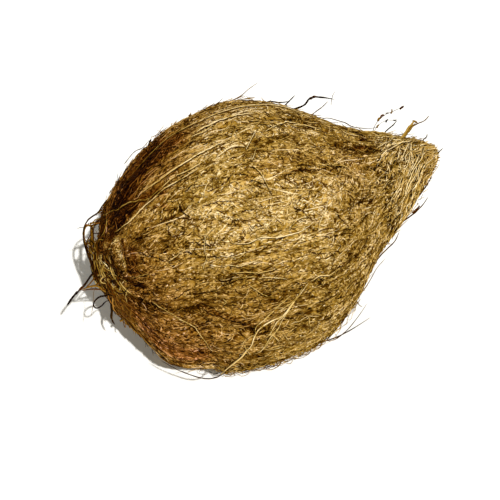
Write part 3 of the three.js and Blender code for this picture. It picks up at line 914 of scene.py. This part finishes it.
# Strays with a shape of their own, in the body's axes: thickness, tone, redness, how far out they lie, and
# places along and up, with a third measure where a place lies out by another distance
STRAYS = [
    # The spike
    (0.5, 0.02, 0.3, 3, [(-60, 5, 2), (-62.4, 3.7), (-65.7, 2.4), (-69.4, -0.4), (-73.6, -2.5),
        (-77.2, -4.9)]),
    (0.62, 0, 0, 3, [(-72.2, -1.8), (-74.4, -3), (-76.4, -4.4), (-78, -5.7)]),
    (0.6, 0.14, 1, 3, [(-69.6, -0.5), (-71.2, -1.3), (-72.8, -2.1)]),
    (0.4, 0.3, 0.6, 3, [(-60, 4), (-62, 3.1), (-65.7, 0.5), (-69.4, -1.6)]),
    # The fan that it leaves from
    (0.5, 0.4, 0.3, 3, [(-60, -7), (-62.9, -4.7), (-64.2, -2.6), (-66.4, -1.6), (-68.4, -1.5),
        (-71.2, -1.7)]),
    (0.42, 0.22, 0.6, 3, [(-58, -8), (-61, -5), (-64.4, -3.6), (-67.6, -2.5), (-71.4, -1.9)]),
    (0.45, 0.3, 0.4, 3, [(-58, 2), (-61.5, 0.2), (-64.5, -1.4), (-67.5, -2)]),
    # The curl
    (0.42, 0, 0, 3, [(-59, -7.4), (-62.4, -6.9), (-65.1, -6.4), (-67.4, -7.3), (-68.4, -8.8), (-67.7, -10),
        (-65.6, -9.8), (-63.5, -8.7), (-60, -8.9)]),
    (0.3, 0.04, 0.2, 2, [(-56, -10, 0), (-60.6, -9, 1), (-62, -11.5), (-61.4, -14)]),
    # The strand that hangs down, its mate and its hair
    (0.66, 0, 0, -2, [(-57, -2), (-61, -6), (-61.2, -10.1), (-61.9, -13.1), (-62.9, -15.9),
        (-62.5, -18.7)]),
    (0.46, 0.03, 0.3, -1, [(-56, -5), (-59.6, -8.6), (-60.7, -12), (-61.2, -15)]),
    (0.12, 0.3, 0, 0, [(-63, 0), (-66.3, -3.5), (-67.5, -6.8), (-69.4, -10.6), (-70.5, -12.7)]),
    # The loops round the gaps
    (0.38, 0.04, 0.3, 1, [(-48.9, 29.6, 0), (-53, 26.9), (-55.6, 24.8), (-59.2, 23.8), (-61.6, 22),
        (-63, 19.9), (-64, 16.8), (-64.3, 13.6), (-64.4, 9), (-62, 3)]),
    (0.36, 0.3, 0, 1, [(-61.4, 21.8), (-62.8, 19.4), (-63.6, 16.6), (-64, 13), (-64, 8), (-61, 2)]),
    (0.6, 0.3, 0, 2, [(-59.4, 20.7), (-60.2, 18.9), (-60.6, 17), (-61.3, 14.8), (-61.9, 11.7),
        (-60, 6, 3)]),
    (0.4, 0.1, 0.5, 2, [(-58.8, 20.8), (-59.5, 18.6), (-60, 16.9), (-60.7, 14.4), (-61, 11), (-59, 6, 3)]),
    (0.5, 0.06, 0.6, 4, [(-54, 24), (-55.6, 21), (-55.9, 18.6), (-57.2, 15.6), (-58.6, 12), (-58, 6, 5)]),
    (0.24, 0.08, 0.3, 3, [(-60.2, 17.9), (-58.9, 17.5), (-57.6, 17.2), (-55.8, 17.6)]),
    (0.5, 0.36, 1, 2, [(-61.9, 22), (-60.3, 21.3), (-59.4, 20.9), (-57.9, 21.2), (-56.4, 21),
        (-52, 22.4, 3)]),
    (0.42, 0.2, 1, 2, [(-60, 22), (-58.4, 21.8), (-56.8, 21.9), (-54, 23)]),
    (0.14, 0.1, 0.2, 2, [(-61, 21.2), (-63, 21.1), (-63.7, 21.5), (-64.5, 21.4), (-65.4, 21.7)]),
    # Twigs over the upper edge
    (0.5, 0, 0.2, 1, [(26, 41, 0), (33.6, 41.4), (37.7, 41.9), (41.1, 43.9), (45.9, 42.6), (50.8, 40.2)]),
    (0.6, 0.06, 1, 1, [(40.4, 43.4), (42.4, 43.9), (44.8, 43)]),
    (0.26, 0.1, 0.3, 0, [(39, 37), (42.7, 38.3), (44.8, 39), (48.2, 40.6)]),
    (0.14, 0.15, 0.3, 0, [(48.6, 38.6), (49.6, 40.6), (50.8, 42.4), (52.2, 43.6)]),
    (0.38, 0.02, 0.2, 2, [(24, 42), (28.5, 43.4), (31.1, 44.7), (34.9, 46.6)]),
    (0.36, 0.04, 0.4, 0, [(20, 46), (23.9, 47.4), (28.1, 45.8), (32.2, 45)]),
    # Hairs over the top and the shoulder
    (0.2, 0.3, 0.1, -4, [(2, 49, -3), (9.8, 52.2), (15, 53.4), (19, 55.1), (23.8, 56.6)]),
    (0.34, 0.3, 0.3, 0, [(4, 50.6), (8.8, 51.8), (12.5, 52.4), (15, 52.6)]),
    (0.2, 0.15, 0.2, 0, [(-40, 40), (-34.5, 43.6), (-30.6, 44.3), (-27, 46.6)]),
    (0.55, 0.02, 0.5, 0, [(-28.2, 44.2), (-27.4, 45.6), (-26.4, 46.6)]),
    # Flakes over the tuft, on their hairs
    (0.13, 0.15, 0.3, 2, [(60, 21), (63.6, 25.6), (68.3, 28), (71.8, 28.5), (75.9, 29), (78.6, 29.7)]),
    (0.12, 0.15, 0.3, 2, [(60.6, 21.6), (63.8, 24.5), (66.6, 25.6), (69.4, 25.7), (72.8, 24.4)]),
    (0.55, 0.4, 0.1, 2, [(65, 26.5), (65.6, 27.4), (66.8, 27.7)]),
    (0.5, 0.24, 0.8, 2, [(66.4, 27.5), (67.4, 28.4), (68.6, 28.1)]),
    (0.24, 0.1, 0.3, 2, [(69.2, 28.8), (69.9, 28.6), (70.6, 28.8)]),
    (0.4, 0.34, 0, 2, [(71.2, 27.9), (72, 28.6), (72.4, 29.7)]),
    (0.6, 0.12, 1, 2, [(75.6, 28.6), (76.6, 29.1), (77.8, 29.3)]),
    (0.44, 0.38, 0, 2, [(63.6, 24), (64.2, 24.8), (65.2, 25.1)]),
    (0.4, 0.06, 0.3, 2, [(68, 25.1), (68.7, 25.8), (69.5, 26.1)]),
    (0.34, 0.08, 0.3, 2, [(71.4, 25.1), (72.2, 24.8), (72.9, 24.9)]),
    (0.34, 0.06, 0.2, 2, [(62, 18), (66.8, 21.6), (70.7, 23.2), (72.9, 24.5)]),
    # The tuft's strap, twig and fork, and the tip's
    (0.7, 0.58, 0, 5, [(66, 14), (73.4, 18.4), (75.9, 20.3), (77.2, 20.9), (78.9, 22.2)]),
    (0.5, 0.42, 0, 5, [(67, 13.6), (74.2, 18.1), (77, 19.9), (79.2, 21.1)]),
    (0.36, 0.22, 0, 5, [(68, 15.6), (73, 18.3), (76.2, 19.7), (79.7, 20.6), (83.1, 20.9), (86, 22.4)]),
    (0.45, 0.36, 0.1, 5, [(78.1, 22.3), (79.2, 21.7), (80, 20.6)]),
    (0.3, 0.08, 0.2, 2, [(80, 12), (81.5, 13.8), (83, 14.4), (83.8, 15.6)]),
    (0.3, 0.06, 0.2, 2, [(84, 6.4), (86, 6.9), (88.4, 7.9)]),
    # The strip along the shoulder
    (0.22, 0.15, 0.4, 0, [(42, 34.4), (45.7, 34), (49.7, 31.6), (52.3, 29.9), (54, 28), (57, 26.4),
        (61.5, 24.8), (65, 24.4)]),
    # Strips along the lower edge
    (0.34, 0.1, 0.3, 3, [(66, -11.6), (71.2, -8), (74.2, -6), (77.1, -3.8), (80.2, -1.2)]),
    (0.34, 0.08, 0.3, 3, [(58, -16.6), (66.6, -14.1), (69.3, -13), (72.1, -11.6), (75.4, -9.2)]),
    (0.6, 0.18, 1, 3, [(66.4, -13.6), (68.6, -12.8), (70.6, -11.6)]),
    (0.32, 0.08, 0.2, 3, [(44.6, -28), (47.7, -26), (52, -23.9), (55.6, -22.2), (58.8, -19)]),
    (0.2, 0.12, 0.1, 2, [(33, -38.4), (36.2, -37.4), (40.6, -34.2), (45.1, -30.3), (50.3, -27.5)]),
    (0.2, 0.08, 0.1, 2, [(31.6, -38.6), (32.8, -40.9), (33.2, -42.4), (34.2, -43.2)]),
    # Hairs under the belly
    (0.22, 0.12, 0.1, 2, [(10, -48), (17.2, -52), (23.9, -50.6), (30.5, -46.9), (36.8, -42.4)]),
    (0.3, 0.06, 0.1, 2, [(2, -48), (11.7, -50.8), (19.3, -51.4), (27.1, -50.4), (36.6, -48.3)]),
    (0.2, 0.12, 0.1, 0, [(-12, -48.6), (-5, -51.6), (1.7, -54.3), (5.6, -55)]),
    (0.16, 0.3, 0.1, 0, [(-18, -49), (-16.9, -50.7), (-15.2, -53), (-13.2, -54.4)]),
    # The long arc, from the strand that it grows from
    (0.34, 0.8, 0, 29, [(-19, -40), (-23, -43.8, 26), (-26.1, -45.4, 24), (-29, -47, 20),
        (-32.3, -49, 16)]),
    (0.28, 0.1, 0.2, 20, [(-29, -47), (-32.3, -49.2, 16), (-35.8, -49.3, 13), (-39.1, -47.9, 11),
        (-42.1, -45.7, 9), (-45.2, -43.1, 8), (-48.1, -40.1, 7), (-51, -36.7, 6)]),
]
STRAY_SEED = 51
STRAY_PLACES = 18
STRAY_KNOBS = 0.2


def stray_fibres(material):
    routes = [[(*place, out)[:3] for place in places] for *_, out, places in STRAYS]
    paths = np.array([smooth_curve(route, STRAY_PLACES) for route in routes])
    thick, tone, redness = np.array([stray[:3] for stray in STRAYS]).T
    knobs = np.random.default_rng(STRAY_SEED).uniform(-STRAY_KNOBS, STRAY_KNOBS, paths.shape[:2])
    radii = taper(thick, STRAY_PLACES, 1, 0.4) * (1 + knobs)
    make_fibres("stray_fibres", paths, radii, OUT, tone[:, None], redness[:, None], material)


# Materials
def srgb(red, green, blue):
    """A colour in linear light from its screen values of 0 to 255."""
    shares = (value / 255 for value in (red, green, blue))
    return tuple(s / 12.92 if s <= 0.04045 else ((s + 0.055) / 1.055) ** 2.4 for s in shares) + (1.0,)


# Coir colours by tone, from the dark gaps to the palest straw, and the stain that reddens them
TONES = {
    0.0: srgb(20, 5, 0),
    0.25: srgb(92, 57, 2),
    0.5: srgb(160, 125, 45),
    0.75: srgb(216, 182, 105),
    1.0: srgb(254, 232, 180),
}
STAIN = (0.84, 0.46, 0.46, 1.0)
STAIN_STRENGTH = 0.75

# Noise in the coir: cells in a metre, detail, how far it is drawn out along the fruit
FINE_NOISE = (800, 3, 1.5)
BROAD_NOISE = (70, 3, 2)
BUMP_NOISE = (1600, 3, 1)
BROAD_MOTTLE = 0.25

# Painted shade in fine cracks: cells in a metre, stretch and width of the lines, and cells and threshold of
# what breaks them
LONG_CRACK_SHADE = (260, 3.2, 0.035, 150, 0.46)
SHORT_CRACK_SHADE = (520, 1.7, 0.05, 330, 0.5)
SHORT_CRACK_SHADE_DEPTH = 0.8
BREAK_STEEPNESS = 12
BUMP_STRENGTH = 0.7
SHEEN = 0.02


def set_inputs(node, values):
    for name, value in values.items():
        node.inputs[name].default_value = value


def coir_material(name, roughness, mottle, crack_shade, bump_height):
    """Coir: the vertex's tone, mottled by noise and darkened by painted shade in fine cracks, gives its
    colour; redness mixes in the stain.
    """
    material = bpy.data.materials.new(name)
    material.use_nodes = True
    nodes, links = material.node_tree.nodes, material.node_tree.links
    shader = nodes["Principled BSDF"]

    def add(kind, **settings):
        node = nodes.new(kind)
        for key, value in settings.items():
            setattr(node, key, value)
        return node

    def math_node(operation, first, second):
        node = add("ShaderNodeMath", operation=operation)
        for socket, value in zip(node.inputs, (first, second)):
            if isinstance(value, (int, float)):
                socket.default_value = value
            else:
                links.new(value, socket)
        return node.outputs[0]

    def noise(scale, detail, stretch):
        """Noise of so many cells in a metre, drawn out along the fruit by the stretch."""
        drawn_out = add("ShaderNodeVectorMath", operation="MULTIPLY")
        links.new(place.outputs["Object"], drawn_out.inputs[0])
        drawn_out.inputs[1].default_value = (1 / stretch, 1, 1)
        node = add("ShaderNodeTexNoise")
        set_inputs(node, {"Scale": scale, "Detail": detail})
        links.new(drawn_out.outputs["Vector"], node.inputs["Vector"])
        return node.outputs["Fac"]

    def mottle_of(cells, strength):
        return math_node("MULTIPLY", math_node("SUBTRACT", noise(*cells), 0.5), strength)

    def crack_shade_lines(scale, stretch, width, break_scale, threshold):
        """1 along thin lines of painted crack shade, where a noise crosses its middle and another lies over a
        threshold.
        """
        off = math_node("ABSOLUTE", math_node("SUBTRACT", noise(scale, 2, stretch), 0.5), 0)
        near = math_node("SUBTRACT", 1.0, math_node("DIVIDE", off, width))
        over = math_node("SUBTRACT", noise(break_scale, 1, 1), threshold)
        over = math_node("MAXIMUM", math_node("MULTIPLY", over, BREAK_STEEPNESS), 0.0)
        return math_node("MULTIPLY", math_node("MAXIMUM", near, 0.0), math_node("MINIMUM", over, 1.0))

    place = add("ShaderNodeTexCoord")
    tone = add("ShaderNodeAttribute", attribute_name="tone")
    redness = add("ShaderNodeAttribute", attribute_name="redness")
    mottled = math_node("ADD", tone.outputs["Fac"], mottle_of(FINE_NOISE, mottle))
    mottled = math_node("ADD", mottled, mottle_of(BROAD_NOISE, BROAD_MOTTLE))
    # Painted shade in fine cracks, taken off the tone
    short_lines = math_node("MULTIPLY", crack_shade_lines(*SHORT_CRACK_SHADE), SHORT_CRACK_SHADE_DEPTH)
    lines = math_node("MAXIMUM", crack_shade_lines(*LONG_CRACK_SHADE), short_lines)
    crack_shaded = math_node("SUBTRACT", mottled, math_node("MULTIPLY", lines, crack_shade))

    ramp = add("ShaderNodeValToRGB")
    stops = ramp.color_ramp.elements
    first, *between, last = TONES
    stops[0].color, stops[1].color = TONES[first], TONES[last]
    for tone_stop in between:
        stops.new(tone_stop).color = TONES[tone_stop]
    links.new(crack_shaded, ramp.inputs["Fac"])

    stained = add("ShaderNodeMix", data_type="RGBA", blend_type="MULTIPLY")
    links.new(math_node("MULTIPLY", redness.outputs["Fac"], STAIN_STRENGTH), stained.inputs["Factor"])
    links.new(ramp.outputs["Color"], stained.inputs["A"])
    set_inputs(stained, {"B": STAIN})
    links.new(stained.outputs["Result"], shader.inputs["Base Color"])

    bump = add("ShaderNodeBump")
    set_inputs(bump, {"Distance": MM * bump_height, "Strength": BUMP_STRENGTH})
    links.new(noise(*BUMP_NOISE), bump.inputs["Height"])
    links.new(bump.outputs["Normal"], shader.inputs["Normal"])
    set_inputs(shader, {"Roughness": roughness, "Specular IOR Level": SHEEN})
    return material


# Camera, lights and floor
CAMERA_AZIMUTH = math.radians(-21.86)
CAMERA_ELEVATION = math.radians(55)
CAMERA_DISTANCE = 0.4831
CAMERA_TARGET = Vector((MM * (0.07 + FLAT_BEHIND_BELLY), 0, MM * 37.54))
CAMERA_LENS = 85
SUN_AZIMUTH = math.radians(1.5)
SUN_ELEVATION = math.radians(59.7)
SUN_WIDTH = math.radians(1)
SUN_STRENGTH = 3.7
SUN_COLOUR = (1.0, 0.98, 0.94)
SKY_STRENGTH = 0.33
SKY_COLOUR = (1.0, 0.97, 0.87, 1)
FLOOR_SIZE = 6.0
FLOOR_COLOUR = (0.94, 0.94, 0.93, 1)
FLOOR_ROUGHNESS = 0.9


def direction(azimuth, elevation):
    """The way from the fruit to something at an azimuth, where 0 is in front of it, and an elevation."""
    level = math.cos(elevation)
    return Vector((math.sin(azimuth) * level, -math.cos(azimuth) * level, math.sin(elevation)))


def facing(back):
    """The rotation of a camera or lamp that looks back from a direction to the fruit."""
    return (-back).to_track_quat("-Z", "Y").to_euler()


def add_camera():
    data = bpy.data.cameras.new("camera")
    data.lens = CAMERA_LENS
    data.clip_start = 0.01
    camera = in_scene("camera", data)
    back = direction(CAMERA_AZIMUTH, CAMERA_ELEVATION)
    camera.location = CAMERA_TARGET + CAMERA_DISTANCE * back
    camera.rotation_euler = facing(back)
    bpy.context.scene.camera = camera


def add_light():
    data = bpy.data.lights.new("key", "SUN")
    data.energy = SUN_STRENGTH
    data.angle = SUN_WIDTH
    data.color = SUN_COLOUR
    in_scene("key", data).rotation_euler = facing(direction(SUN_AZIMUTH, SUN_ELEVATION))
    world = bpy.data.worlds.new("studio")
    world.use_nodes = True
    background = world.node_tree.nodes["Background"]
    set_inputs(background, {"Color": SKY_COLOUR, "Strength": SKY_STRENGTH})
    bpy.context.scene.world = world
    bpy.context.scene.view_settings.view_transform = "Standard"


def add_floor():
    half = FLOOR_SIZE / 2
    mesh = bpy.data.meshes.new("floor")
    corners = [(-half, -half, 0), (half, -half, 0), (half, half, 0), (-half, half, 0)]
    mesh.from_pydata(corners, [], [(0, 1, 2, 3)])
    material = bpy.data.materials.new("floor")
    material.use_nodes = True
    shader = material.node_tree.nodes["Principled BSDF"]
    set_inputs(shader, {"Base Color": FLOOR_COLOUR, "Roughness": FLOOR_ROUGHNESS})
    mesh.materials.append(material)
    floor = in_scene("floor", mesh)


add_camera()
add_light()
add_floor()

felt = coir_material("felted_coir", roughness=0.95, mottle=0.85, crack_shade=0.6, bump_height=0.4)
coir = coir_material("coir_fibre", roughness=0.7, mottle=0.45, crack_shade=0.35, bump_height=0.08)
strand = coir_material("long_strand", roughness=0.6, mottle=0.2, crack_shade=0.0, bump_height=0.05)

FIBRE_MATERIALS = {"crumbs": felt, "dark_fibres": strand}
husk_body(felt)
for fibre_name, fibre_kind in SCATTERED.items():
    scattered_fibres(fibre_name, fibre_kind, FIBRE_MATERIALS.get(fibre_name, coir))
edge_fuzz(strand)
tuft_fringe(strand)
blunt_tangle(strand)
tangle_edge(strand)
lying_strands(coir)
stray_fibres(strand)
